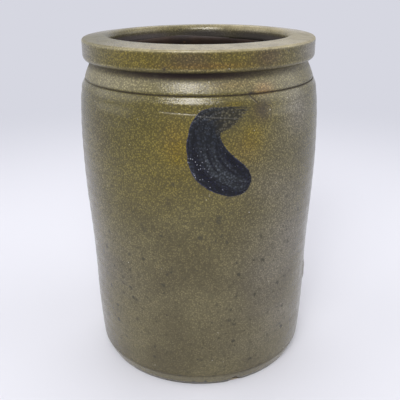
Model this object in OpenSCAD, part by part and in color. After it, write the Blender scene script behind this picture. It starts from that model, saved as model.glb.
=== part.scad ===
// Salt-glazed stoneware crock: one thrown pot with a squared rim, a drawn-in neck and a tooled shoulder
// line, a glassy outer coat, a brown slip inside and one cobalt brush stroke on the front.
// Millimetres, +Z up, origin at the centre of the underside. The front faces -Y.

/* [Overall] */
// Height from the underside to the crest of the rim
height = 255; // [210:1:320]
// Largest outside diameter, at the belly
belly_diameter = 181; // [174:1:210]

/* [Foot and lower wall] */
// Height of the waist, where the lower wall stands upright
waist_height = 62; // [40:1:90]
// How far the wall draws in from the belly to the waist, on the radius
waist_fall = 3.5; // [0.5:0.1:8]
// How far the heel curves in from the waist to the foot bevel, on the radius
heel_fall = 2.4; // [0.5:0.1:8]
// Height of the bevel trimmed round the foot
foot_bevel_height = 10; // [4:0.5:20]
// Width of the foot bevel, on the radius
foot_bevel_width = 4.1; // [1:0.1:8]
// Bare clay left above the underside
bare_foot = 1.5; // [0.5:0.1:3.5]

/* [Shoulder and neck] */
// Height from the belly up to the turn of the shoulder
belly_rise = 33; // [16:1:50]
// How far the wall draws in from the belly to the turn of the shoulder, on the radius
shoulder_fall = 1.4; // [0.4:0.1:4]
// Height from the turn of the shoulder up to the neck
shoulder_rise = 27; // [18:1:40]
// Depth of the neck below the crest of the rim
neck_drop = 19; // [15:0.5:28]
// Radius of the hollow tooled round the neck
neck_cove = 2.5; // [1.5:0.1:4]

/* [Rim] */
// Outside diameter of the squared rim
rim_diameter = 171; // [150:1:174]
// How far the rim stands out past the neck, on the radius
rim_overhang = 4.5; // [2:0.1:7]
// Rounding of the rim's lower edge
rim_under_radius = 3.5; // [2:0.1:4.5]
// Rounding of the rim's upper outer edge
rim_edge_radius = 2; // [1:0.1:4.5]
// Slope of the rim's top, falling outward, in degrees
rim_cant = 7; // [0:0.5:15]
// Clear diameter of the mouth
mouth_diameter = 132; // [116:1:138]
// Rounding of the mouth's inner edge
mouth_edge_radius = 4.5; // [1.5:0.1:6]
// Lean of the throat between the inner wall and the mouth, off upright, in degrees
throat_lean = 29; // [20:1:45]

/* [Clay] */
// Thickness of the clay wall
wall = 8.5; // [6:0.1:11]
// Thickness of the clay floor
floor_thickness = 11; // [7:0.5:16]
// Rounding inside where the wall meets the floor
floor_corner = 16; // [6:0.5:24]

/* [Tooled line] */
// Depth of the line below the neck
line_drop = 11; // [5:0.5:20]
// Radius of the tool's tip
line_tip = 1; // [0.5:0.1:2]
// Depth of the line in the surface
line_depth = 0.7; // [0.2:0.1:1]

/* [Coats] */
// Thickness of the salt glaze
glaze = 0.4; // [0.3:0.05:0.8]
// Thickness of the slip at the bottom of the finger grooves
slip = 0.4; // [0.3:0.05:0.8]
// Height of the slip's edge below the rounded mouth edge
slip_margin = 3.5; // [2:0.1:7]
// Pitch of the finger grooves left inside by throwing
groove_pitch = 12; // [8:0.5:18]
// Depth of the finger grooves
groove_depth = 0.5; // [0.2:0.1:1]

/* [Brush stroke] */
// Depth of the middle of the stroke's bow below the neck
stroke_drop = 46; // [42:0.5:80]
// Sideways place of the bow's middle, to the right of the front
stroke_side = 21.5; // [-25:0.5:25]
// Radius of the stroke's outer bow
stroke_bow_radius = 30; // [20:0.5:34]
// Radius of the stroke's inner edge
stroke_hollow_radius = 21; // [14:0.5:26]
// Greatest width that the brush lays down
stroke_width = 26.4; // [20:0.1:30]
// Slant of the stroke, in degrees
stroke_slant = 27; // [0:1:45]
// Radius of the round end where the brush lifts off
stroke_end_radius = 12; // [8:0.5:14]
// How far the cobalt stands proud of the glaze
stroke_proud = 0.25; // [0.1:0.05:0.5]

/* [Hidden] */

// Tallest step up the wall
wall_step = 10;
// Widest turn of one step round the shoulder, in degrees
shoulder_step = 4;
// Widest turn of one step round a small rounding, in degrees
arc_step = 15;
// Steps up one finger groove
groove_steps = 4;
// Steps round the pot and round the brush stroke
turn_steps = 240;
// Room that a cutting shape gets past the surface that it cuts
cut_room = 1;

// Heights and radii that follow from the driving sizes
neck_z = height - neck_drop;
shoulder_z = neck_z - shoulder_rise;
belly_z = shoulder_z - belly_rise;
belly_r = belly_diameter / 2;
waist_r = belly_r - waist_fall;
foot_r = waist_r - heel_fall - foot_bevel_width;
rim_r = rim_diameter / 2;
neck_r = rim_r - rim_overhang;
mouth_r = mouth_diameter / 2;
slip_z = height - mouth_edge_radius - slip_margin;
line_z = neck_z - line_drop;

function direction(from, to) = (to - from) / norm(to - from);
function angle_of(vector) = atan2(vector[1], vector[0]);

// Radius of an arc that starts upright and falls sideways over a rise
function upright_radius(rise, fall) = (rise * rise + fall * fall) / (2 * fall);

// Lower wall: a convex heel, then an ogee of two equal arcs up to the belly
heel_radius = upright_radius(waist_height - foot_bevel_height, heel_fall);
ogee_radius = upright_radius((belly_z - waist_height) / 2, waist_fall / 2);
ogee_z = (waist_height + belly_z) / 2;

// Upper wall: one arc from the belly to the turn of the shoulder
upper_radius = upright_radius(belly_rise, shoulder_fall);
upper_centre = [belly_r - upper_radius, belly_z];
shoulder_turn = [belly_r - shoulder_fall, shoulder_z];
shoulder_normal = direction(upper_centre, shoulder_turn);

// The shoulder arc touches the upper wall at its turn and the round of the neck's hollow.
// Its radius is negative where the neck is so wide that the shoulder flares out to it.
cove_centre = [neck_r + neck_cove, neck_z];
cove_to_turn = shoulder_turn - cove_centre;
shoulder_radius = (cove_to_turn * cove_to_turn - neck_cove * neck_cove)
    / (2 * (cove_to_turn * shoulder_normal + neck_cove));
shoulder_centre = shoulder_turn - shoulder_radius * shoulder_normal;
neck_normal = (cove_centre - shoulder_centre) / (shoulder_radius + neck_cove);
neck_angle = angle_of(neck_normal);

// The rim's rounded lower edge touches the neck's hollow and the upright face
under_sum = neck_cove + rim_under_radius;
under_rise = sqrt(under_sum * under_sum - pow(rim_overhang - under_sum, 2));
under_centre = [rim_r - rim_under_radius, neck_z + under_rise];
under_angle = angle_of(under_centre - cove_centre);

// The rim's canted top touches the rounded outer and inner edges
cant_normal = [sin(rim_cant), cos(rim_cant)];
inner_edge_centre = [mouth_r + mouth_edge_radius, height - mouth_edge_radius];
top_reach = inner_edge_centre * cant_normal + mouth_edge_radius - rim_edge_radius;
outer_edge_r = rim_r - rim_edge_radius;
outer_edge_centre = [outer_edge_r, (top_reach - outer_edge_r * cant_normal[0]) / cant_normal[1]];

// Radius of the wall at a height, a depth under the finished outside
function leg(long_side, other) = sqrt(long_side * long_side - other * other);
function wall_radius(z, depth) =
    z < waist_height ? waist_r - heel_radius + leg(heel_radius - depth, z - waist_height)
    : z < ogee_z ? waist_r + ogee_radius - leg(ogee_radius + depth, z - waist_height)
    : z < belly_z ? belly_r - ogee_radius + leg(ogee_radius - depth, z - belly_z)
    : z < shoulder_z ? upper_centre[0] + leg(upper_radius - depth, z - belly_z)
    : shoulder_centre[0] + sign(shoulder_radius) * leg(shoulder_radius - depth, z - shoulder_centre[1]);

// Top of the wall, where it runs into the hollow of the neck
function wall_top(depth) = shoulder_centre + (shoulder_radius - depth) * neck_normal;

// Points along an arc between two directions, with or without the first one
function arc_points(centre, radius, from, to, first = 0, turn = arc_step) =
    let (steps = ceil(abs(to - from) / turn))
    [for (i = [first : steps]) let (a = from + (to - from) * i / steps) centre + radius * [cos(a), sin(a)]];

// Points up the wall from a height to the neck
function wall_points(depth, low) =
    let (high = shoulder_turn[1] - depth * shoulder_normal[1])
    let (steps = ceil((high - low) / wall_step))
    let (turn_angle = angle_of(shoulder_normal))
    concat(
        [for (i = [0 : steps]) let (z = low + (high - low) * i / steps) [wall_radius(z, depth), z]],
        arc_points(shoulder_centre, shoulder_radius - depth, turn_angle, neck_angle, 1, shoulder_step)
    );

// Points up the inner face to the neck, set back in a bowl over each finger groove
function bowl(share) = 4 * share * (1 - share);
function grooved_points(depth, low) =
    let (neck = wall_top(depth))
    let (steps = ceil((neck[1] - low) / groove_pitch * groove_steps) - 1)
    concat(
        [for (i = [0 : steps])
            let (z = low + i * groove_pitch / groove_steps)
            let (share = (i % groove_steps) / groove_steps)
            [wall_radius(z, depth - groove_depth * bowl(share)), z]],
        [neck]
    );

// Half section of everything within the outside, closed across the mouth at the slip's edge
module outside(depth) {
    difference() {
        polygon(concat(
            [[0, 0], [foot_r - depth, 0]],
            wall_points(depth, foot_bevel_height),
            arc_points(cove_centre, neck_cove + depth, 180 + neck_angle, under_angle, 1),
            arc_points(under_centre, rim_under_radius - depth, under_angle - 180, 0, 1),
            arc_points(outer_edge_centre, rim_edge_radius - depth, 0, 90 - rim_cant),
            arc_points(inner_edge_centre, mouth_edge_radius - depth, 90 - rim_cant, 180),
            [[mouth_r + depth, slip_z], [0, slip_z]]
        ));
        tooled_line(depth);
    }
}

// Round line pressed into the shoulder, which the coat follows
module tooled_line(depth) {
    translate([wall_radius(line_z, 0) + line_tip - line_depth, line_z])
        circle(r = line_tip + depth, $fn = 64);
}

// Half section of the hollow inside a wall face that ends at the neck, with the mouth up to a height
module hollow(face_points, coat, top) {
    mouth = mouth_r + glaze - coat;
    corner = floor_corner - coat;
    corner_centre = face_points[0] - [corner, 0];
    neck = face_points[len(face_points) - 1];
    lip_r = min(neck[0], mouth);
    lip_z = min(neck[1] + (neck[0] - lip_r) / tan(throat_lean), slip_z - cut_room);
    polygon(concat(
        [[0, corner_centre[1] - corner]],
        arc_points(corner_centre, corner, -90, 0),
        [for (i = [1 : len(face_points) - 1]) face_points[i]],
        [[lip_r, lip_z], [0, lip_z]]
    ));
    translate([0, shoulder_z]) square([mouth, top - shoulder_z]);
}

corner_z = floor_thickness + floor_corner;

// The hollow in the clay
module clay_hollow(top) {
    hollow(wall_points(glaze + wall, corner_z), 0, top);
}

// The hollow that the slip leaves, with the thrower's finger grooves
module lined_hollow(top) {
    hollow(grooved_points(glaze + wall + slip + groove_depth, corner_z), slip, top);
}

module turned() {
    rotate_extrude($fn = turn_steps) children();
}

// Half section of a coat on the clay, out to a surface that stands proud of the finished outside
module coat(proud) {
    difference() {
        outside(-proud);
        outside(glaze);
        square([belly_r, bare_foot]);
    }
}

// Outline of the brush stroke, seen from the front: a crescent, open to the right, that ends in a round
module stroke_outline() {
    hollow_shift = stroke_hollow_radius + stroke_width - stroke_bow_radius;
    end_shift = stroke_bow_radius - stroke_end_radius;
    difference() {
        circle(r = stroke_bow_radius, $fn = turn_steps);
        rotate(stroke_slant) translate([hollow_shift, 0]) circle(r = stroke_hollow_radius, $fn = turn_steps);
        for (turn = [0, stroke_slant]) rotate(turn - 90) square(stroke_bow_radius + cut_room);
    }
    translate([0, -end_shift]) circle(r = stroke_end_radius, $fn = turn_steps);
}

module stroke_prism() {
    rotate([90, 0, 0]) linear_extrude(height = belly_r + cut_room)
        translate([stroke_side, neck_z - stroke_drop]) stroke_outline();
}

// Thrown clay: floor, wall, shoulder, neck and rim from one lump
module stoneware_body() {
    color([0.62, 0.58, 0.5]) turned() difference() {
        outside(glaze);
        clay_hollow(height);
    }
}

// Salt glaze over the outside, the rim and the lip, open where the cobalt lies
module salt_glaze() {
    color([0.46, 0.42, 0.27]) difference() {
        turned() coat(0);
        stroke_prism();
    }
}

// Brown slip over the floor and the wall, grooved by the thrower's fingers
module slip_lining() {
    color([0.2, 0.16, 0.15]) turned() difference() {
        clay_hollow(slip_z);
        lined_hollow(slip_z + cut_room);
    }
}

// Cobalt brush stroke, melted into the gap in the glaze
module cobalt_stroke() {
    color([0.16, 0.17, 0.23]) intersection() {
        turned() coat(stroke_proud);
        stroke_prism();
    }
}

stoneware_body();
salt_glaze();
slip_lining();
cobalt_stroke();
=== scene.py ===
import math

import bpy
import numpy as np
from mathutils import Matrix


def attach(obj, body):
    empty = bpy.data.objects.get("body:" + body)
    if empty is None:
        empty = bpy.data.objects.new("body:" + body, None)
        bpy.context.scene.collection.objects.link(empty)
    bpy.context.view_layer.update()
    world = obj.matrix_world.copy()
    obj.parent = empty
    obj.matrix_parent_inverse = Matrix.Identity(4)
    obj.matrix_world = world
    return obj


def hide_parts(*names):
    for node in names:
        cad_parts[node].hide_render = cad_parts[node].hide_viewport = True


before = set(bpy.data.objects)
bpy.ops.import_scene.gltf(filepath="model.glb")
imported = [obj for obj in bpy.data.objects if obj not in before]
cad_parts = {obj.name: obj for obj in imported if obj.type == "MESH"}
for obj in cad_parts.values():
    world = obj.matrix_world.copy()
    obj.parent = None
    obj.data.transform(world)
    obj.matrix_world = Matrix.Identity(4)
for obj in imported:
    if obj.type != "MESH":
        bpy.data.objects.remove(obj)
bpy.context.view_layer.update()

# Thrown clay: floor, wall, drawn-in neck and squared rim, thrown on a wheel from one lump of grey stoneware
# and cut loose with a twisted wire. It shows bare on the underside and at the foot's edge, where the glaze
# was wiped away so that the pot would not stick in the kiln. Sizes are in millimetres.
mm = 0.001
full_turn = 2 * math.pi
crest_z, neck_z, shoulder_z, belly_z, waist_z, bevel_z = 255.0, 236.0, 209.0, 176.0, 62.0, 10.0
belly_r, shoulder_r, waist_r, heel_r, foot_r = 90.5, 89.1, 87.0, 84.6, 80.5
rim_r, neck_r, mouth_r, lip_end_z, inside_top_z = 85.5, 81.0, 66.0, 244.0, 249.0
cove_round, under_round, edge_round, lip_round = 2.5, 3.5, 1.7, 4.5
rim_cant = math.radians(7)
line_z, line_depth, line_half_width, line_waver = 225.0, 0.75, 0.6, 0.35
wall_depth, floor_z, floor_corner = 9.6, 11.6, 15.4
throat_lean = math.radians(29)
coat = 0.4
pole_r = 3.0
section_step = 0.25


def upright_radius(rise, fall):
    """Radius of an arc that starts upright and falls sideways over a rise: the sum of both squares over
    twice the fall."""
    return (rise ** 2 + fall ** 2) / (2 * fall)


def arc(centre, radius, start, end):
    """Points a step apart along an arc between two angles: the centre plus the radius times cosine and
    sine."""
    turn = np.linspace(start, end, max(6, int(abs(radius * (end - start)) / section_step)))
    return np.stack([centre[0] + radius * np.cos(turn), centre[1] + radius * np.sin(turn)], -1)


def run_along(points):
    """How far along a line each of its points lies: the running sum of the distances between them."""
    return np.concatenate([[0], np.cumsum(np.hypot(*np.diff(points, axis=0).T))])


def read_line(points, runs, at):
    """Places on a line at given runs along it, by interpolation between its points."""
    return np.stack([np.interp(at, runs, points[:, k]) for k in (0, 1)], -1)


def even_steps(points):
    """The same line with its points one step apart along its run."""
    run = run_along(points)
    keep = np.concatenate([[True], np.diff(run) > 1e-6])
    return read_line(points[keep], run[keep], np.arange(0, run[-1], section_step))


def softened(points, reach):
    """The line as firing rounds it: each point is a bell-weighted mean of its neighbours within a reach, and
    the ends are mirrored through themselves so that they stay in place."""
    count = int(reach / section_step)
    weights = np.hanning(2 * count + 3)[1:-1]
    before = 2 * points[0] - points[count:0:-1]
    after = 2 * points[-1] - points[-2:-count - 2:-1]
    longer = np.concatenate([before, points, after])
    return np.stack([np.convolve(longer[:, k], weights / weights.sum(), "valid") for k in (0, 1)], -1)


def pot_outside():
    """Half section of the outside: foot bevel, heel arc, ogee of two arcs, upper arc, shoulder arc, hollow of
    the neck, then the rim's rounded lower edge, upright face, rounded edge, canted top, rounded lip and the
    mouth's upright wall, each tangent to the next."""
    heel = upright_radius(waist_z - bevel_z, waist_r - heel_r)
    half_ogee = (belly_z - waist_z) / 2
    ogee = upright_radius(half_ogee, (belly_r - waist_r) / 2)
    upper = upright_radius(shoulder_z - belly_z, belly_r - shoulder_r)
    upper_angle = math.asin((shoulder_z - belly_z) / upper)
    normal = np.array([math.cos(upper_angle), math.sin(upper_angle)])
    turn = np.array([shoulder_r, shoulder_z])
    cove = np.array([neck_r + cove_round, neck_z])
    apart = turn - cove
    shoulder = (apart @ apart - cove_round ** 2) / (2 * (apart @ normal + cove_round))
    shoulder_centre = turn - shoulder * normal
    neck_angle = math.atan2(*(cove - shoulder_centre)[::-1])
    reach = cove_round + under_round
    under_rise = math.sqrt(reach ** 2 - (rim_r - neck_r - reach) ** 2)
    under = np.array([rim_r - under_round, neck_z + under_rise])
    under_angle = math.atan2(*(under - cove)[::-1])
    slope = np.array([math.sin(rim_cant), math.cos(rim_cant)])
    lip = np.array([mouth_r + lip_round, crest_z - lip_round])
    edge_x = rim_r - edge_round
    edge = (edge_x, (lip @ slope + lip_round - edge_round - edge_x * slope[0]) / slope[1])
    heel_angle = math.asin((waist_z - bevel_z) / heel)
    ogee_angle = math.asin(half_ogee / ogee)
    line = np.concatenate([
        [[foot_r, 0.0]],
        arc((waist_r - heel, waist_z), heel, -heel_angle, 0),
        arc((waist_r + ogee, waist_z), ogee, math.pi, math.pi - ogee_angle),
        arc((belly_r - ogee, belly_z), ogee, -ogee_angle, 0),
        arc((belly_r - upper, belly_z), upper, 0, upper_angle),
        arc(shoulder_centre, shoulder, upper_angle, neck_angle),
        arc(cove, cove_round, math.pi + neck_angle, under_angle),
        arc(under, under_round, under_angle - math.pi, 0),
        arc(edge, edge_round, 0, math.pi / 2 - rim_cant),
        arc(lip, lip_round, math.pi / 2 - rim_cant, math.pi),
        [[mouth_r, lip_end_z]],
    ])
    return softened(even_steps(line), 0.9)


def across(points):
    """Outward normals of a section line: its direction turned a quarter to the right."""
    along = np.gradient(points, axis=0)
    along /= np.linalg.norm(along, axis=1, keepdims=True)
    return np.stack([along[:, 1], -along[:, 0]], -1)


outside = pot_outside()
outside_normal = across(outside)
outside_run = section_step * np.arange(len(outside))
crest = int(np.argmax(outside[:, 1]))
wall_r = 88.0


def run_at(height):
    """How far up the outside's section line a height lies, by interpolation below the crest."""
    return np.interp(height, outside[:crest, 1], outside_run[:crest])


def turn_from(angle, middle):
    """Angle from a middle that is given in degrees, wrapped to half a turn either way."""
    return (angle - math.radians(middle) + math.pi) % full_turn - math.pi


def bell(distance, width, power=2):
    """Bell curve, one in the middle: the exponential of minus the distance in widths, raised to a power."""
    return np.exp(-(distance / width) ** power)


def spot(angle, run, place, half_width, half_height, edge=1.0):
    """Soft round patch, one in the middle and nothing far off: the bell curve of the distance in half widths
    round the pot and half heights up it, with a power that sharpens its edge."""
    wide = turn_from(angle, place[0]) * wall_r / half_width
    tall = (run - run_at(place[1])) / half_height
    return np.exp(-((wide ** 2 + tall ** 2) ** edge))


def long_waves(angle, run, seed, count, rounds, length):
    """Smooth uneven field: the mean of cosine waves, each with a whole number of rounds about the pot, a
    length up it and a start, all drawn from a seed."""
    draw = np.random.default_rng(seed)
    field = np.zeros(np.broadcast(angle, run).shape)
    for _ in range(count):
        turns = draw.integers(0, rounds + 1)
        rise = full_turn / (length * draw.uniform(0.6, 2.5)) * draw.choice([-1, 1])
        field += np.cos(turns * angle + rise * run + draw.uniform(0, full_turn))
    return field / math.sqrt(count)


# Each knock: its place as degrees from the front and a height, half width, half height, lift and edge
knocks = [
    ((-13.6, 152), 2.6, 4.5, -0.35, 1.0),
    ((-14.7, 241.2), 1.5, 1.0, -0.9, 1.0),
    ((18.7, 1.0), 4.4, 3.4, -1.7, 2.0),
    ((78, 67.5), 4.6, 8.5, 1.0, 1.5),
    ((79, 60), 3.0, 2.5, 0.4, 1.0),
    ((-60, 40), 22, 18, -0.35, 1.0),
    ((140, 120), 30, 24, -0.45, 1.0),
    ((205, 60), 24, 20, 0.3, 1.0),
    ((-120, 170), 26, 22, -0.35, 1.0),
]
oval_lift, oval_start, oval_twist = 0.22, 0.7, 170
finger_lift, finger_pitch, finger_sway, sway_length = 0.07, 9.5, 1.2, 41
foot_fade, neck_fade, least_fingers = 40, 14, 0.15
roll_z, roll_lift, roll_width = 220.3, 0.62, 2.6
press_z, press_depth, press_width = 223.5, 0.35, 8.0
far_lip_side, far_lip_spread = 170, math.radians(11)
far_lip_run, far_lip_depth, far_lip_width = outside_run[crest] + 5.4, 0.32, 2.0


def line_at(angle):
    """Run of the tooled line, which wavers with the cosine of the angle round the pot."""
    return run_at(line_z) + line_waver * np.cos(angle + 1.0)


def hand_made(angle, run):
    """How far the thrown wall strays from a true turned shape: an oval of two lobes, a slow spiral of finger
    ridges and long uneven waves that the rib smooths away at the rim, the tooled line on the shoulder with
    the low roll that the tool pushed up below it, a flatter place on the far lip, and the knocks of the kiln
    and of use."""
    rise = np.clip(run / foot_fade, 0, 1)
    fingers = finger_lift * rise * np.clip((run_at(neck_z) - run) / neck_fade, least_fingers, 1)
    spiral = full_turn * run / finger_pitch + angle + finger_sway * np.sin(run / sway_length)
    stray = oval_lift * rise * np.cos(2 * angle + oval_start + run / oval_twist)
    stray = stray + fingers * np.cos(spiral)
    stray = stray + fingers * long_waves(angle, run, seed=11, count=14, rounds=5, length=40)
    stray = stray + roll_lift * bell(run - run_at(roll_z), roll_width)
    stray = stray - press_depth * bell(run - run_at(press_z), press_width)
    stray = stray - line_depth * bell(run - line_at(angle), line_half_width)
    far_lip = bell(turn_from(angle, far_lip_side), far_lip_spread) * bell(run - far_lip_run, far_lip_width)
    stray = stray - far_lip_depth * far_lip
    for place, half_width, half_height, lift, edge in knocks:
        stray = stray + lift * spot(angle, run, place, half_width, half_height, edge)
    return stray


def turned(section, normals, runs, angle, run, lift):
    """Points of a section turned about the axis, at angles counted from the front towards the right and at
    runs along it: the section's point plus its normal times a lift, and nothing below the table."""
    radius = np.interp(run, runs, section[:, 0]) + lift * np.interp(run, runs, normals[:, 0])
    height = np.interp(run, runs, section[:, 1]) + lift * np.interp(run, runs, normals[:, 1])
    radius, height, angle = np.broadcast_arrays(radius, np.maximum(height, 0), angle)
    return np.stack([radius * np.sin(angle), -radius * np.cos(angle), height], -1) * mm


def on_pot(angle, run, lift):
    """Points of the outside: its section, with what the hand strayed and a lift, turned about the axis."""
    return turned(outside, outside_normal, outside_run, angle, run, hand_made(angle, run) + lift)


def rows_along(count, start, end):
    """Runs of the rows up the outside: equal shares of a crowding that is highest where the section bends
    most and at the tooled line."""
    bend = np.linalg.norm(np.gradient(outside_normal, axis=0), axis=1) / section_step
    near_line = bell(outside_run - run_at(line_z), 2.0, 4)
    crowd = 1 + 14 * np.clip(softened(np.stack([bend, bend], -1), 2)[:, 0], 0, 0.5) + 12 * near_line
    crowd = crowd * ((outside_run >= start) & (outside_run <= end))
    share = np.cumsum(crowd)
    return np.interp(np.linspace(share[0], share[-1], count), share + 1e-9 * outside_run, outside_run)


def pot_inside():
    """Half section of the inside from the lip down: upright mouth, leaning throat, the outside's wall set in
    by the wall's depth, a rounded corner and the floor."""
    set_in = outside - wall_depth * outside_normal
    wall = set_in[(outside_run < run_at(neck_z - 3)) & (set_in[:, 1] > floor_z + floor_corner)][::-1]
    lip_height = wall[0, 1] + (wall[0, 0] - mouth_r) / math.tan(throat_lean)
    corner = wall[-1] - [floor_corner, 0]
    line = np.concatenate([
        [[mouth_r, inside_top_z], [mouth_r, lip_height]],
        wall,
        arc(corner, floor_corner, 0, -math.pi / 2),
        [[pole_r, corner[1] - floor_corner]],
    ])
    return softened(even_steps(line), 3.0)


inside = pot_inside()
inside_normal = across(inside)
inside_run = section_step * np.arange(len(inside))


def in_pot(angle, run, lift):
    """Points of the inside: its section with a lift, turned about the axis."""
    return turned(inside, inside_normal, inside_run, angle, run, lift)


def round_angles(columns):
    """Even angles once round the pot, as one row."""
    return np.linspace(0, full_turn, columns, endpoint=False)[None, :]


def skin(name, grid, poles=()):
    """Smooth closed skin over a grid of points: neighbouring rows and columns join in four-sided faces, the
    columns meet round the pot, and the rows either meet again or end in a pole at each side."""
    rows, columns, _ = grid.shape
    index = np.arange(rows * columns).reshape(rows, columns)
    low = index[:-1] if poles else index
    high = index[1:] if poles else np.roll(index, -1, 0)
    faces = np.stack([low, np.roll(low, -1, 1), np.roll(high, -1, 1), high], -1).reshape(-1, 4).tolist()
    points = grid.reshape(-1, 3)
    if poles:
        points = np.concatenate([points, poles])
        first, last = np.full((2, columns), [[len(points) - 2], [len(points) - 1]])
        faces += np.stack([np.roll(index[0], -1), index[0], first], -1).tolist()
        faces += np.stack([index[-1], np.roll(index[-1], -1), last], -1).tolist()
    mesh = bpy.data.meshes.new(name)
    mesh.from_pydata(points.tolist(), [], faces)
    mesh.polygons.foreach_set("use_smooth", np.ones(len(faces), bool))
    piece = bpy.data.objects.new(name, mesh)
    bpy.context.scene.collection.objects.link(piece)
    return piece


def paint(red, green, blue):
    """A colour as a painter would read it, 0 to 255, turned into the linear light that shaders use."""
    shade = np.array([red, green, blue]) / 255
    return (*np.where(shade < 0.04045, shade / 12.92, ((shade + 0.055) / 1.055) ** 2.4).tolist(), 1.0)


def add(tree, kind, inputs=(), **settings):
    """One shader node with its settings, and on each named socket a value or another node's output."""
    made = tree.nodes.new("ShaderNode" + kind)
    for key, value in settings.items():
        setattr(made, key, value)
    for key, value in dict(inputs).items():
        if isinstance(value, bpy.types.NodeSocket):
            tree.links.new(value, made.inputs[key])
        else:
            made.inputs[key].default_value = value
    return made


def reckon(tree, operation, first, second=0.0):
    """One sum of two values."""
    return add(tree, "Math", {0: first, 1: second}, operation=operation).outputs[0]


def times(tree, first, second):
    """One value times another."""
    return reckon(tree, "MULTIPLY", first, second)


def ramp(tree, value, low, high, start=0.0, end=1.0):
    """A value eased from a start to an end while it goes from low to high."""
    sockets = {"Value": value, "From Min": low, "From Max": high, "To Min": start, "To Max": end}
    return add(tree, "MapRange", sockets, interpolation_type="SMOOTHSTEP").outputs[0]


def blend(tree, share, first, second):
    """Colour that goes from the first to the second as the share goes from nothing to one."""
    return add(tree, "Mix", {0: share, 6: first, 7: second}, data_type="RGBA").outputs[2]


def tinge(tree, colour, share, strength, tone):
    """Colour with a tone laid over it, as much as a share times a strength."""
    return blend(tree, times(tree, share, strength), colour, tone)


def noise(tree, place, scale, detail, roughness=0.5):
    """Cloudy noise: how many clouds to the metre, how many finer layers and how strong those are."""
    sockets = {"Vector": place, "Scale": scale, "Detail": detail, "Roughness": roughness}
    return add(tree, "TexNoise", sockets).outputs[0]


def new_group(name, inputs, outputs):
    """Empty node group with named sockets for values and places: its tree, its input sockets and its output
    node."""
    tree = bpy.data.node_groups.new(name, "ShaderNodeTree")
    for socket, value in inputs.items():
        kind = "NodeSocketFloat" if isinstance(value, float) else "NodeSocketVector"
        tree.interface.new_socket(socket, in_out="INPUT", socket_type=kind).default_value = value
    for socket in outputs:
        tree.interface.new_socket(socket, in_out="OUTPUT", socket_type="NodeSocketFloat")
    entry = tree.nodes.new("NodeGroupInput")
    return tree, entry.outputs, tree.nodes.new("NodeGroupOutput")


def use_group(tree, group, **values):
    """A node group placed in a material with its own values: its output sockets."""
    made = tree.nodes.new("ShaderNodeGroup")
    made.node_tree = group
    for key, value in values.items():
        made.inputs[key].default_value = value
    return made.outputs


def new_material(name):
    """Empty material: its tree, its main shader and the place on the pot that patterns hang on."""
    material = bpy.data.materials.new(name)
    material.use_nodes = True
    tree = material.node_tree
    shader = tree.nodes["Principled BSDF"]
    place = add(tree, "TexCoord").outputs["Object"]
    return material, tree, shader, place


def feed(tree, shader, colour, roughness, height, strength, distance):
    """Gives a main shader its colour, its roughness and a bump of a height, strength and distance."""
    bump = add(tree, "Bump", {"Height": height, "Strength": strength, "Distance": distance})
    tree.links.new(colour, shader.inputs["Base Color"])
    tree.links.new(roughness, shader.inputs["Roughness"])
    tree.links.new(bump.outputs[0], shader.inputs["Normal"])


# Sparse specks, such as iron in the clay or pits in a glaze: cells of a set size, of which a share are specks
flecks, ends, result = new_group("flecks", {"Size": 400.0, "Share": 0.05, "Width": 0.3}, ["Mask"])
place = add(flecks, "TexCoord").outputs["Object"]
cell = add(flecks, "TexVoronoi", {"Vector": place, "Scale": ends["Size"]})
chance = add(flecks, "SeparateColor", {0: cell.outputs["Color"]}).outputs
chosen = reckon(flecks, "LESS_THAN", chance[0], ends["Share"])
grown = times(flecks, ends["Width"], chance[1])
dot = ramp(flecks, cell.outputs["Distance"], times(flecks, grown, 0.5), grown, 1.0, 0.0)
flecks.links.new(times(flecks, chosen, dot), result.inputs["Mask"])

clay_angle = round_angles(256)
wire_x, wire_y, wire_pitch, wire_lift = 75, 40, 6.5, 0.35
under_r = np.linspace(pole_r, foot_r - 1.2, 34)[:, None]
wire = np.hypot(under_r * np.sin(clay_angle) - wire_x, under_r * np.cos(clay_angle) + wire_y)
under_edge = np.clip((foot_r - 1 - under_r) / 6, 0, 1)
wire_wave = 0.6 + 0.4 * np.cos(full_turn * wire / wire_pitch + 0.9 * np.sin(wire / 13))
wire_rise = wire_lift * under_edge * wire_wave
under_grid = np.stack([under_r * np.sin(clay_angle), -under_r * np.cos(clay_angle), wire_rise], -1) * mm
clay_rows = rows_along(170, 0, outside_run[-1])[:, None]
clay_outside = on_pot(clay_angle, clay_rows, -coat)
clay_inside = in_pot(clay_angle, np.linspace(6, inside_run[-1], 90)[:, None], -1.0)
floor_middle = [0, 0, clay_inside[-1, 0, 2]]
under_middle = [0, 0, wire_rise[0].mean() * mm]
clay_grid = np.concatenate([under_grid, clay_outside, clay_inside])
thrown_clay = skin("thrown_clay", clay_grid, [under_middle, floor_middle])

bare_clay, tree, shader, place = new_material("bare_clay")
clouds = noise(tree, place, 28.0, 5.0, 0.6)
grit = noise(tree, place, 900.0, 3.0)
iron = use_group(tree, flecks, Size=330.0, Share=0.10, Width=0.45)["Mask"]
colour = blend(tree, ramp(tree, clouds, 0.35, 0.65), paint(150, 136, 112), paint(176, 164, 142))
colour = blend(tree, ramp(tree, grit, 0.4, 0.7, 0.0, 0.35), colour, paint(120, 104, 84))
colour = tinge(tree, colour, iron, 0.75, paint(72, 52, 38))
feed(tree, shader, colour, ramp(tree, clouds, 0.3, 0.7, 0.72, 0.9), grit, 0.5, 0.4 * mm)
thrown_clay.data.materials.append(bare_clay)
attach(thrown_clay, "root")
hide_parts("stoneware_body")

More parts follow.
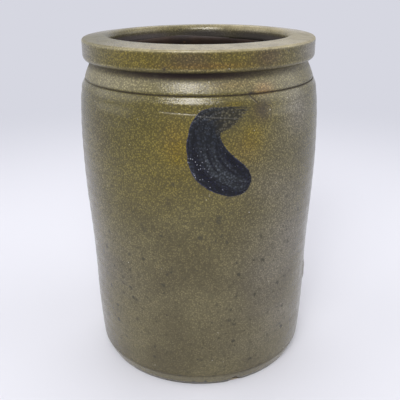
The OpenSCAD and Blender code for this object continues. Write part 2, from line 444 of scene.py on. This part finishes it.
# Salt glaze: glassy coat on the outside, over the rim and down the lip. Salt thrown into the hot kiln turns
# to vapour and melts with the clay's own silica, so the coat beads like orange peel, runs dark into hollows
# and flashes from mustard to olive and grey where the vapour and the flame reached it unevenly. The colour
# also holds painted light: painted shade in the neck's hollow, the tooled line and the mouth, and painted
# light, highlight and sheen on the shoulder, the neck's sides, the rim's edges and the body's sides.
bare_edge = 1.5
glaze_angle = round_angles(420)
glaze_rows = rows_along(200, run_at(bare_edge), outside_run[-1])[:, None]
back_rows = glaze_rows[::-6]
glaze_face = on_pot(glaze_angle, glaze_rows, -0.3 * bell(glaze_rows - glaze_rows[0], 0.6))
glaze_back = on_pot(glaze_angle, back_rows, -coat)
glaze_coat = skin("glaze_coat", np.concatenate([glaze_face, glaze_back]))

coat_rows = np.concatenate([glaze_rows, back_rows])
coat_run, coat_angle = np.broadcast_arrays(coat_rows, glaze_angle)
coat_height = np.interp(coat_run, outside_run, outside[:, 1])
past_crest = coat_run - outside_run[crest]
uneven = long_waves(coat_angle, coat_run, seed=23, count=18, rounds=6, length=60)


def tint(piece, name, values):
    """Stores one value for each point of a piece, for its material to read by name."""
    layer = piece.data.attributes.new(name, "FLOAT", "POINT")
    layer.data.foreach_set("value", np.clip(values, 0, 1).astype(np.float32).ravel())


def zones(places):
    """The strongest of several soft patches at each point of the coat. Each patch gives its place, as degrees
    from the front and a height, its half width, its half height and its strength."""
    field = np.zeros(coat_angle.shape)
    for place, half_width, half_height, strength in places:
        field = np.maximum(field, strength * spot(coat_angle, coat_run, place, half_width, half_height))
    return field


def eased(value, low, high):
    """Nothing at low, one at high, and a smooth change between them: three squares less two cubes."""
    share = np.clip((value - low) / (high - low), 0, 1)
    return share ** 2 * (3 - 2 * share)


def belt(start, full, fading, end):
    """Soft belt round the coat between heights: it rises from start to full and falls from fading to end."""
    rising = eased(coat_run, run_at(start), run_at(full))
    return rising * eased(coat_run, run_at(end), run_at(fading))


def hoop(height, width, power=2):
    """Thin hoop round the coat: a bell curve of the run from a height."""
    return bell(coat_run - run_at(height), width, power)


def sides(middles, half_width):
    """The strongest of several soft bands up the pot, each a bell curve of the angle from its middle."""
    turn = np.stack([turn_from(coat_angle, middle) for middle in middles])
    return bell(turn, math.radians(half_width)).max(0)


mustard = zones([
    ((-2, 186), 58, 54, 0.75), ((23.6, 198), 17, 21, 1.0), ((-8, 188), 9, 18, 0.9),
    ((-28, 247), 28, 10, 1.0), ((16, 245), 30, 8, 1.0), ((0, 242), 52, 3, 1.0), ((14, 220), 12, 4, 1.0),
    ((150, 180), 60, 48, 0.75), ((235, 150), 44, 60, 0.6), ((185, 247), 50, 9, 0.4),
    ((270, 246), 30, 9, 0.8), ((95, 246), 24, 8, 0.7),
])
# Grey ash flashing, partly painted: the patches towards the left and right of the front stand in for the pale
# sheen of the room at grazing angles, and the patch on the neck's right is painted light against the shade
# under the rim.
ash_and_sheen = zones([
    ((48, 214), 20, 26, 0.7), ((42, 125), 30, 95, 0.55), ((-62, 140), 22, 80, 0.5), ((40, 52), 34, 24, 0.5),
    ((62, 247), 18, 10, 0.8), ((-64, 247), 18, 10, 0.5), ((52, 236), 18, 4, 0.6),
    ((120, 70), 50, 40, 0.6), ((205, 215), 40, 20, 0.6), ((290, 90), 40, 50, 0.5),
])
blush = zones([
    ((29.6, 228), 8, 3.5, 0.9), ((19, 190), 10, 12, 0.12), ((-10, 196), 8, 13, 0.16),
    ((-21, 254), 8, 3, 0.4), ((15, 231), 18, 3, 0.3), ((3, 243.4), 26, 2, 0.4),
    ((170, 228), 16, 4, 0.6), ((140, 188), 16, 20, 0.5), ((250, 140), 12, 22, 0.4),
])
scorch = zones([
    ((-3.6, 247.5), 16, 6, 0.9), ((27.5, 215), 7, 7.5, 1.0), ((-50, 190), 12, 30, 0.25),
    ((31, 247), 13, 8, 1.0), ((200, 245), 18, 7, 0.7), ((110, 200), 18, 22, 0.4),
])
# Dark spots and chips, darkened in their hollows; the two patches at 78 and 79 degrees are painted shadow on
# the shaded side of the kiln's bump.
marks_and_shade = zones([
    ((-14.7, 241.2), 1.6, 1.2, 1.0), ((22.9, 225.8), 2.2, 1.2, 1.0), ((18.7, 1.0), 4.6, 3.4, 1.0),
    ((78, 59), 3.4, 2.6, 0.9), ((79, 66), 2.6, 8.5, 0.85), ((-33, 54.7), 1.1, 1.0, 0.9),
    ((-15, 99), 1.2, 1.2, 0.8), ((3, 85.8), 1.2, 1.0, 0.8), ((-13.6, 154), 1.8, 4.0, 0.4),
])
stain_and_lip_shade = zones([
    ((13, 213), 15, 6, 0.55), ((9, 208), 10, 8, 0.5), ((27.5, 215), 5.5, 6.5, 0.5),
    ((10, 219), 12, 2.6, 0.4), ((2, 214), 5, 5, 0.3),
])
# Painted shade: the inner lip at the back darkens just below the crest, where it falls into the mouth.
stain_and_lip_shade = np.maximum(stain_and_lip_shade, 0.7 * eased(past_crest, 6.0, 8.5) * sides((140, 176), 28))

# Painted shade with glaze pooling: the neck's hollow under the rim, darkest at the front, and the tooled line
# are darkened in the colour, besides the glaze that pools there; the foot's crease gets a fainter dark line.
neck_shade_and_pool = belt(231.8, 236.4, 238.4, 240.4) * (0.08 + 0.97 * sides((-6, 150, 238), 47) + 0.06 * uneven)
line_shade_and_pool = (0.85 - 0.5 * sides((-72,), 24)) * bell(coat_run - line_at(coat_angle), 0.5, 4)
foot_pool = 0.35 * hoop(10.6, 0.7)
rim_top = eased(coat_run, run_at(251.3), run_at(252.4)) * eased(past_crest, 10.5, 3.0)
rubbed = 0.55 + 0.45 * sides((14, 130), 48) - 0.5 * sides((-72,), 34) - 0.25 * sides((196,), 10)
# Painted shade inside the mouth: the inner lip turns grey and darker below the crest.
lip_shade = eased(past_crest, 5.0, 10.0) * (1 - 0.4 * sides((197, 155, 60, 300), 9))
# Paler hoops on the rim's upper outer edge and its lower edge: glaze thin on the edges and a painted
# highlight along them. The foot's bevel below the foot line is paler as well.
pale_lit_edges = 0.5 * hoop(252.3, 0.9) + 0.3 * hoop(241.0, 0.6)
broken = long_waves(coat_angle, coat_run, seed=53, count=16, rounds=24, length=30)
pale_lit_edges = pale_lit_edges * (0.7 + 0.3 * broken)
thin_heel = 0.12 * eased(coat_run, run_at(9.8), run_at(8.4))
# Painted light: a paler ring on the shoulder between the tooled line and the neck, where it faces up to the
# light, weaker at the front where the window's highlight falls; a painted highlight on the roll just below
# the tooled line; and paler neck sides, lifted against the shade under the rim.
ridge = hoop(222.6, 1.9, 4)
painted_light_ring = 0.6 + 0.4 * sides((-45, 120, 200), 40) - 0.3 * sides((-4,), 14) + 0.1 * uneven
painted_light_ring = np.maximum(belt(225.6, 227.5, 233.2, 235.6) * painted_light_ring, 0.4 * ridge)
neck_side_light = belt(233.0, 235.5, 239.5, 241.0) * (1 - sides((-4, 150, 238), 52))
rim_face = belt(239.6, 241.4, 251.4, 252.6) * (0.1 + 0.9 * sides((0, 120, 240), 42))

drifts = long_waves(coat_angle, coat_run, seed=31, count=14, rounds=7, length=45)

coat_tints = {
    "mustard": mustard * (0.9 + 0.25 * uneven),
    "ash_and_sheen": ash_and_sheen * (0.9 + 0.3 * drifts),
    "blush": blush,
    "scorch": scorch,
    "pool_and_shade": np.maximum(np.maximum(neck_shade_and_pool, line_shade_and_pool), foot_pool),
    "height_share": coat_height / crest_z,
    "worn": rim_top * (rubbed + 0.08 * uneven),
    "lip_shade": lip_shade,
    "thin_and_edge_highlight": pale_lit_edges + thin_heel,
    "ridge": ridge,
    "painted_light_ring": np.maximum(painted_light_ring, neck_side_light),
    "rim_face": rim_face,
    "dull": rim_top * (0.65 * sides((-72,), 34) + sides((75,), 34)),
    "marks_and_shade": marks_and_shade,
    "stain_and_lip_shade": stain_and_lip_shade,
}
for name, values in coat_tints.items():
    tint(glaze_coat, name, values)


def vector(tree, operation, first, second):
    """One sum of two places or directions, which gives another or a plain value."""
    made = add(tree, "VectorMath", {0: first, 1: second}, operation=operation)
    return made.outputs["Value" if operation in ("DOT_PRODUCT", "DISTANCE") else "Vector"]


def shaken(tree, place, moved, scale, detail, reach):
    """A place moved a little by noise: the place to be moved plus the noise's colour, read at the place on
    the pot, times a reach along each axis."""
    sway = add(tree, "TexNoise", {"Vector": place, "Scale": scale, "Detail": detail}).outputs["Color"]
    return vector(tree, "ADD", moved, vector(tree, "MULTIPLY", sway, reach))


def raised(tree, value, share, amount):
    """A value plus a share times an amount."""
    return reckon(tree, "ADD", value, times(tree, share, amount))


# Beaded skin of a salt glaze: rounded cells of a set size, and a bright bead of chance strength in each
peel, ends, result = new_group("orange_peel", {"Size": 520.0}, ["Height", "Bead"])
place = add(peel, "TexCoord").outputs["Object"]
shifted = shaken(peel, place, place, 300.0, 1.0, (1.2 * mm, 1.2 * mm, 1.2 * mm))
cell = add(peel, "TexVoronoi", {"Vector": shifted, "Scale": ends["Size"]})
tone = add(peel, "SeparateColor", {0: cell.outputs["Color"]}).outputs[0]
tone = ramp(peel, tone, 0.0, 1.0, 0.45, 1.0)
bead = times(peel, tone, ramp(peel, cell.outputs["Distance"], 0.65, 0.1))
peel.links.new(reckon(peel, "SUBTRACT", 1.0, cell.outputs["Distance"]), result.inputs["Height"])
peel.links.new(bead, result.inputs["Bead"])

# Fine scratch between two places on the front wall: how near a point lies to the straight line between them
scratch_ends = {"Start": (0.0, 0.0, 0.0), "End": (0.0, 0.0, 0.01), "Width": 0.0004}
scratch, ends, result = new_group("scratch", scratch_ends, ["Mask"])
place = add(scratch, "TexCoord").outputs["Object"]
flat_place = vector(scratch, "MULTIPLY", place, (1.0, 0.0, 1.0))
flat_place = shaken(scratch, place, flat_place, 700.0, 2.0, (0.6 * mm, 0.0, 0.6 * mm))
reach = vector(scratch, "SUBTRACT", ends["End"], ends["Start"])
offset = vector(scratch, "SUBTRACT", flat_place, ends["Start"])
ahead = vector(scratch, "DOT_PRODUCT", offset, reach)
length = vector(scratch, "DOT_PRODUCT", reach, reach)
ahead = add(scratch, "Math", {0: ahead, 1: length}, operation="DIVIDE", use_clamp=True).outputs[0]
nearest = add(scratch, "VectorMath", {0: reach, "Scale": ahead}, operation="SCALE").outputs[0]
near = ramp(scratch, vector(scratch, "DISTANCE", offset, nearest), 0.0, ends["Width"], 1.0, 0.0)
in_front = reckon(scratch, "LESS_THAN", add(scratch, "SeparateXYZ", {0: place}).outputs["Y"], 0.0)
scratch.links.new(times(scratch, near, in_front), result.inputs["Mask"])


def scratched(tree, start, end, width):
    """Mask of one scratch on the front between two places, given as millimetres to the right and up."""
    start_place, end_place = ((right * mm, 0.0, up * mm) for right, up in (start, end))
    return use_group(tree, scratch, Start=start_place, End=end_place, Width=width * mm)["Mask"]


salt_glaze, tree, shader, place = new_material("salt_glaze")
zone = {name: add(tree, "Attribute", attribute_name=name).outputs["Fac"] for name in coat_tints}
clouds = noise(tree, place, 22.0, 6.0, 0.62)
drizzle = noise(tree, place, 95.0, 5.0, 0.65)
mottle = noise(tree, place, 230.0, 4.0, 0.6)
grit = noise(tree, place, 1500.0, 1.0)
beads = use_group(tree, peel, Size=800.0)
pits = use_group(tree, flecks, Size=240.0, Share=0.07, Width=0.3)["Mask"]
crumbs = use_group(tree, flecks, Size=480.0, Share=0.02, Width=0.26)["Mask"]
soot = use_group(tree, flecks, Size=170.0, Share=0.7, Width=0.46)["Mask"]
crack = scratched(tree, (32.2, 224.5), (37.2, 220.2), 0.7)
# Tool mark below the stroke: a pale line painted as a highlight along it, and a painted shadow just above it.
tool_mark_highlight = scratched(tree, (-24.8, 215.2), (0.0, 213.7), 0.5)
tool_shade = scratched(tree, (-24.8, 216.0), (0.0, 214.5), 0.6)
lower_wall = ramp(tree, zone["height_share"], 0.72, 0.42, 0.35, 1.0)
worn_and_shaded_lip = reckon(tree, "MAXIMUM", zone["worn"], zone["lip_shade"])

low_tone = blend(tree, ramp(tree, clouds, 0.35, 0.65), paint(84, 77, 53), paint(99, 92, 65))
high_tone = blend(tree, ramp(tree, clouds, 0.3, 0.7), paint(82, 76, 40), paint(99, 92, 49))
worn_tone = blend(tree, ramp(tree, drizzle, 0.4, 0.65), paint(165, 153, 119), paint(138, 127, 96))
colour = blend(tree, ramp(tree, zone["height_share"], 0.3, 0.85), low_tone, high_tone)
mustard_share = raised(tree, ramp(tree, zone["mustard"], 0.75, 1.0, 0.0, 0.25), zone["mustard"], 0.6)
colour = blend(tree, mustard_share, colour, paint(107, 93, 14))
colour = tinge(tree, colour, zone["rim_face"], 0.5, paint(97, 83, 12))
# Grey ash flashing and painted sheen towards the sides.
colour = tinge(tree, colour, zone["ash_and_sheen"], 0.6, paint(137, 132, 127))
colour = tinge(tree, colour, zone["blush"], 0.6, paint(150, 100, 48))
colour = tinge(tree, colour, zone["scorch"], 0.75, paint(78, 63, 44))
colour = blend(tree, ramp(tree, drizzle, 0.42, 0.72, 0.0, 0.14), colour, paint(70, 62, 42))
colour = tinge(tree, colour, ramp(tree, mottle, 0.54, 0.72, 0.0, 0.5), lower_wall, paint(58, 54, 36))
# Painted light on the upturned shoulder, a painted highlight below the tooled line and lighter neck sides.
colour = tinge(tree, colour, zone["painted_light_ring"], 0.48, paint(146, 138, 108))
colour = tinge(tree, colour, zone["worn"], 0.85, worn_tone)
colour = tinge(tree, colour, zone["lip_shade"], 0.85, paint(89, 83, 88))
# Thin glaze and a painted highlight on the rim's edges, and a paler foot bevel.
colour = tinge(tree, colour, zone["thin_and_edge_highlight"], 0.7, paint(188, 178, 136))

bead_tone = times(tree, reckon(tree, "SUBTRACT", beads["Bead"], 0.36), 0.85)
grit_tone = times(tree, reckon(tree, "SUBTRACT", grit, 0.5), 0.7)
speckle = reckon(tree, "ADD", bead_tone, grit_tone)
speckle = times(tree, speckle, ramp(tree, zone["height_share"], 0.15, 0.75, 0.8, 1.3))
speckle = times(tree, speckle, reckon(tree, "SUBTRACT", 1.0, times(tree, worn_and_shaded_lip, 0.8)))
speckle = reckon(tree, "ADD", speckle, 1.02)
colour = add(tree, "HueSaturation", {"Color": colour, "Value": speckle}).outputs[0]

ragged_soot = times(tree, soot, ramp(tree, mottle, 0.42, 0.56, 0.0, 0.85))
# Cobalt stain round the stroke's tail, and painted shade on the inner lip at the back.
colour = blend(tree, zone["stain_and_lip_shade"], colour, paint(52, 50, 44))
# Painted shade and pooled glaze: near black in the neck's hollow, the tooled line and the foot's crease.
colour = blend(tree, zone["pool_and_shade"], colour, paint(26, 13, 13))
# Painted shadow above the tool mark, then its painted highlight.
colour = tinge(tree, colour, tool_shade, 0.45, paint(58, 50, 28))
colour = tinge(tree, colour, tool_mark_highlight, ramp(tree, drizzle, 0.35, 0.65, 0.05, 0.45), paint(158, 148, 116))
colour = tinge(tree, colour, crack, 0.85, paint(34, 26, 20))
colour = tinge(tree, colour, pits, 0.7, paint(44, 36, 26))
colour = tinge(tree, colour, ragged_soot, lower_wall, paint(50, 48, 34))
colour = tinge(tree, colour, crumbs, 0.7, paint(206, 200, 184))
# Dark spots and chips, and painted shadow beside the kiln's bump.
colour = blend(tree, zone["marks_and_shade"], colour, paint(40, 34, 28))

sheen = raised(tree, ramp(tree, drizzle, 0.3, 0.7, 0.17, 0.27), worn_and_shaded_lip, -0.08)
for name, amount in (("ridge", -0.11), ("painted_light_ring", 0.12), ("dull", 0.23), ("pool_and_shade", 0.7)):
    sheen = raised(tree, sheen, zone[name], amount)
relief = raised(tree, beads["Height"], pits, -1.5)
relief = raised(tree, relief, reckon(tree, "ADD", crack, tool_shade), -1.5)
feed(tree, shader, colour, sheen, relief, 0.4, 0.2 * mm)
shader.inputs["IOR"].default_value = 1.48
shader.inputs["Specular Tint"].default_value = (1.0, 0.96, 0.9, 1.0)
glaze_coat.data.materials.append(salt_glaze)
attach(glaze_coat, "root")
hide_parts("salt_glaze")

# Slip lining: brown liquid clay that was poured in, swirled and tipped out, so that the salt's vapour, which
# hardly gets inside, leaves no bare wall. It fires to a dark satin coat over the ridges of the thrower's
# fingers and ends in a wavering edge just under the lip.
slip_top_z, groove_pitch, groove_depth = 247.6, 12.0, 0.5
lining_angle = round_angles(320)
slip_top = inside_run[np.argmax(inside[:, 1] < slip_top_z)]
lining_rows = np.linspace(slip_top, inside_run[-1], 210)[:, None]
edge_wave = long_waves(lining_angle, 0 * lining_angle, seed=47, count=9, rounds=7, length=60)
edge_run = slip_top + 1.3 + 1.1 * edge_wave
grooves = 0.5 + 0.5 * np.cos(full_turn * lining_rows / groove_pitch + lining_angle)
near_top = np.clip((lining_rows - slip_top - 8) / 14, 0, 1)
near_floor = np.clip((inside_run[-1] - lining_rows) / 12, 0, 1)
lining_lift = -0.35 + 0.45 * eased(lining_rows, edge_run, edge_run + 2.2)
lining_lift = lining_lift - groove_depth * near_top * near_floor * grooves
lining_face = in_pot(lining_angle, lining_rows, lining_lift)
lining_back = in_pot(lining_angle, lining_rows[::-5], -0.9)
lining_middles = [[0, 0, lining_back[0, 0, 2]], [0, 0, lining_face[-1, 0, 2]]]
slip_coat = skin("slip_coat", np.concatenate([lining_back, lining_face]), lining_middles)

brown_slip, tree, shader, place = new_material("brown_slip")
clouds = noise(tree, place, 34.0, 5.0, 0.6)
drawn_out = add(tree, "Mapping", {"Vector": place, "Scale": (120.0, 120.0, 14.0)}).outputs[0]
runs = noise(tree, drawn_out, 1.0, 4.0)
specks = use_group(tree, flecks, Size=240.0, Share=0.08, Width=0.4)["Mask"]
colour = blend(tree, ramp(tree, clouds, 0.35, 0.65), paint(46, 37, 34), paint(66, 52, 44))
colour = blend(tree, ramp(tree, runs, 0.45, 0.7, 0.0, 0.5), colour, paint(36, 29, 28))
colour = tinge(tree, colour, specks, 0.6, paint(96, 74, 52))
relief = reckon(tree, "ADD", clouds, runs)
feed(tree, shader, colour, ramp(tree, runs, 0.3, 0.7, 0.42, 0.6), relief, 0.25, 0.6 * mm)
slip_coat.data.materials.append(brown_slip)
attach(slip_coat, "root")
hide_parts("slip_lining")

# Cobalt stroke: one stroke of a loaded brush, cobalt stirred in thin clay, laid on the front from the upper
# right, round and down into a full rounded end. It starts dry and wispy, pools towards its end and melts
# glossy blue-black into the glaze. Its two edges are given as millimetres to the right and up.
outer_edge = np.array([
    (33.6, 217.4), (22, 218.4), (9, 218.4), (1.0, 217.2), (-5.7, 208.4), (-8.7, 194), (-7.0, 179.6),
    (-2.4, 170.8), (4.9, 164.8), (13, 160.8), (20, 158.6), (27.6, 159.0), (32.4, 162.5), (34.2, 168.5),
])
inner_edge = np.array([
    (21.0, 205.4), (17, 203.9), (13.4, 202.4), (13.3, 199.5), (15.2, 195.2), (18.4, 190.4),
    (24.2, 184.6), (28.3, 181.1), (32.3, 176.3), (34.2, 171.5), (34.2, 168.5),
])
stroke_proud, stroke_sunk, stroke_depth = 0.3, 0.05, 0.25
bristle_reach, dry_share, edge_waver, thin_share = 0.035, 0.12, 0.006, 0.2


def brushed_edge(corners, share):
    """Smooth line through a few corners: even shares of its length, then a bell-weighted mean to round it
    off."""
    run = run_along(corners)
    fine = np.linspace(0, 1, 400)
    line = softened(read_line(corners, run, fine * run[-1]), 5.0)
    return read_line(line, fine, share)


along = np.linspace(0.0, 1.0, 200)[1:-1, None]
around = round_angles(96)
share_across = 0.5 + 0.5 * np.cos(around)
hair_ends = long_waves(0 * around, 60 * share_across, seed=61, count=14, rounds=3, length=4)
bristle = bristle_reach * hair_ends * np.exp(-along / dry_share)
share_along = np.clip(along + bristle, 0, 1)
ragged = edge_waver * long_waves(0 * along, 300 * along, seed=67, count=14, rounds=3, length=14)
spread = (share_across + ragged * (2 * share_across - 1))[..., None]
flat = brushed_edge(outer_edge, share_along) * spread + brushed_edge(inner_edge, share_along) * (1 - spread)
flat_right, flat_up = flat[..., 0], flat[..., 1]
stroke_angle = np.arcsin(flat_right / np.interp(flat_up, outside[:crest, 1], outside[:crest, 0]))
crown = np.sqrt(np.abs(np.sin(around)))
body = np.clip(along / thin_share, 0, 1) ** 0.5
stroke_lift = np.where(np.sin(around) >= 0, stroke_proud * crown * body, -stroke_depth * crown) - stroke_sunk
stroke_grid = on_pot(stroke_angle, run_at(flat_up), stroke_lift)
stroke_ends = [stroke_grid[0].mean(0), stroke_grid[-1].mean(0)]
brush_stroke = skin("brush_stroke", stroke_grid, stroke_ends)
tint(brush_stroke, "along", np.concatenate([(along + 0 * around).ravel(), [0.0, 1.0]]))
tint(brush_stroke, "aside", np.concatenate([(share_across + 0 * along).ravel(), [0.5, 0.5]]))

cobalt, tree, shader, place = new_material("cobalt")
run_share = add(tree, "Attribute", attribute_name="along").outputs["Fac"]
side_share = add(tree, "Attribute", attribute_name="aside").outputs["Fac"]
hair_places = {"X": times(tree, side_share, 9.0), "Y": times(tree, run_share, 2.6)}
hairs = noise(tree, add(tree, "CombineXYZ", hair_places).outputs[0], 1.0, 4.0, 0.6)
beads = use_group(tree, peel, Size=640.0)
glints = use_group(tree, flecks, Size=620.0, Share=0.7, Width=0.36)["Mask"]
# The tool mark's painted highlight where it crosses the stroke.
tool_mark_highlight = scratched(tree, (0.0, 213.4), (26.2, 210.9), 0.6)
edge_share = reckon(tree, "ABSOLUTE", reckon(tree, "SUBTRACT", side_share, 0.5))
# Painted sheen: a lighter grey band along the stroke's raised middle, where its gloss catches the light.
middle = times(tree, ramp(tree, edge_share, 0.34, 0.02), ramp(tree, run_share, 0.3, 0.55))
middle = times(tree, middle, ramp(tree, run_share, 0.97, 0.85))
dry = raised(tree, run_share, reckon(tree, "SUBTRACT", hairs, 0.5), 0.5)
rimmed = times(tree, ramp(tree, side_share, 0.5, 0.85), ramp(tree, run_share, 0.3, 0.6))

colour = blend(tree, ramp(tree, hairs, 0.45, 0.75), paint(6, 7, 24), paint(38, 42, 50))
# Painted sheen along the stroke's middle.
colour = tinge(tree, colour, middle, ramp(tree, hairs, 0.35, 0.6, 0.1, 0.7), paint(66, 71, 75))
colour = blend(tree, ramp(tree, run_share, 0.6, 0.3, 0.0, 0.5), colour, paint(33, 38, 42))
colour = blend(tree, ramp(tree, edge_share, 0.46, 0.5, 0.0, 0.5), colour, paint(66, 68, 92))
colour = blend(tree, ramp(tree, dry, 0.3, 0.06), colour, paint(70, 66, 50))
speckle = reckon(tree, "ADD", times(tree, beads["Bead"], 1.6), 0.35)
colour = add(tree, "HueSaturation", {"Color": colour, "Value": speckle}).outputs[0]
# Painted glints: small bright highlights over the stroke, most of them towards its outer edge.
glint_share = reckon(tree, "ADD", times(tree, rimmed, 0.5), 0.15)
colour = tinge(tree, colour, glints, glint_share, paint(150, 152, 162))
colour = tinge(tree, colour, tool_mark_highlight, 0.5, paint(84, 82, 76))
feed(tree, shader, colour, ramp(tree, hairs, 0.3, 0.7, 0.24, 0.4), beads["Height"], 0.7, 0.4 * mm)
shader.inputs["Specular IOR Level"].default_value = 0.28
brush_stroke.data.materials.append(cobalt)
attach(brush_stroke, "root")
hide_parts("cobalt_stroke")

# Table, light and camera: a plain pale table top under the pot, soft daylight from all round with one broad
# window at the front left, and a camera a little above the rim, as the photograph was taken. Sizes here are
# in metres.
table_half, light_aim_z = 9.0, 0.15
camera_place, look_down, roll = (0.00012, -0.4466, 0.2997), math.radians(21.755), -0.0079
haze_tone = paint(214, 215, 225)
corners = [(x * table_half, y * table_half, 0) for x, y in ((-1, -1), (1, -1), (1, 1), (-1, 1))]
table_mesh = bpy.data.meshes.new("table_top")
table_mesh.from_pydata(corners, [], [(0, 1, 2, 3)])
table_top = bpy.data.objects.new("table_top", table_mesh)
bpy.context.scene.collection.objects.link(table_top)


def seen_directly(tree):
    """One where the camera, a mirror or a glass looks, and nothing where light only falls: the greatest of
    three light path flags."""
    seen = add(tree, "LightPath").outputs
    reflected = reckon(tree, "MAXIMUM", seen["Is Glossy Ray"], seen["Is Transmission Ray"])
    return reckon(tree, "MAXIMUM", seen["Is Camera Ray"], reflected)


pale_table, tree, shader, place = new_material("pale_table")
shader.inputs["Base Color"].default_value = paint(226, 226, 233)
shader.inputs["Roughness"].default_value = 0.8
from_pot = add(tree, "VectorMath", {0: place}, operation="LENGTH").outputs["Value"]
far = times(tree, seen_directly(tree), ramp(tree, from_pot, 0.3, 0.95))
haze = add(tree, "Emission", {"Color": haze_tone, "Strength": 1.0}).outputs[0]
faded = add(tree, "MixShader", {0: far, 1: shader.outputs[0], 2: haze}).outputs[0]
tree.links.new(faded, tree.nodes["Material Output"].inputs["Surface"])
table_top.data.materials.append(pale_table)

world = bpy.data.worlds.new("pale_room")
bpy.context.scene.world = world
world.use_nodes = True
tree = world.node_tree
room = tree.nodes["Background"]
room.inputs["Color"].default_value = paint(236, 236, 244)
room.inputs["Strength"].default_value = 0.33
haze = add(tree, "Background", {"Color": haze_tone, "Strength": 1.0}).outputs[0]
faded = add(tree, "MixShader", {0: seen_directly(tree), 1: room.outputs[0], 2: haze}).outputs[0]
tree.links.new(faded, tree.nodes["World Output"].inputs["Surface"])


def light_panel(name, width, height, power, place):
    """One soft oval light: its size in metres, its power in watts and its place, facing down its own axis."""
    data = bpy.data.lights.new(name, "AREA")
    data.shape = "ELLIPSE"
    data.size, data.size_y = width, height
    data.energy = power
    panel = bpy.data.objects.new(name, data)
    bpy.context.scene.collection.objects.link(panel)
    panel.matrix_world = place


def round_the_pot(side, rise, away):
    """Place at an angle to the right of the front, an angle above the table and a distance from the pot."""
    return (Matrix.Translation((0, 0, light_aim_z)) @ Matrix.Rotation(math.radians(side), 4, "Z")
            @ Matrix.Rotation(math.pi / 2 - math.radians(rise), 4, "X") @ Matrix.Translation((0, 0, away)))


light_panel("window", 2.8, 1.6, 64.0, round_the_pot(-10, 38, 3.4))
light_panel("window_middle", 1.2, 1.2, 28.0, round_the_pot(-10, 38, 3.3))
light_panel("left_card", 3.0, 4.0, 32.0, round_the_pot(-88, 18, 3.2))
light_panel("right_card", 3.0, 4.0, 37.0, round_the_pot(88, 18, 3.2))
light_panel("back_card", 3.0, 1.6, 22.0, round_the_pot(180, 56, 3.4))
light_panel("ceiling", 8.0, 14.0, 80.0, Matrix.Translation((0, 4.0, 4.0)))

camera_data = bpy.data.cameras.new("camera")
camera_data.lens, camera_data.sensor_width = 52.42, 36.0
camera = bpy.data.objects.new("camera", camera_data)
bpy.context.scene.collection.objects.link(camera)
camera.matrix_world = (Matrix.Translation(camera_place)
                       @ Matrix.Rotation(math.pi / 2 - look_down, 4, "X") @ Matrix.Rotation(roll, 4, "Z"))
bpy.context.scene.camera = camera
bpy.context.scene.view_settings.view_transform = "Standard"
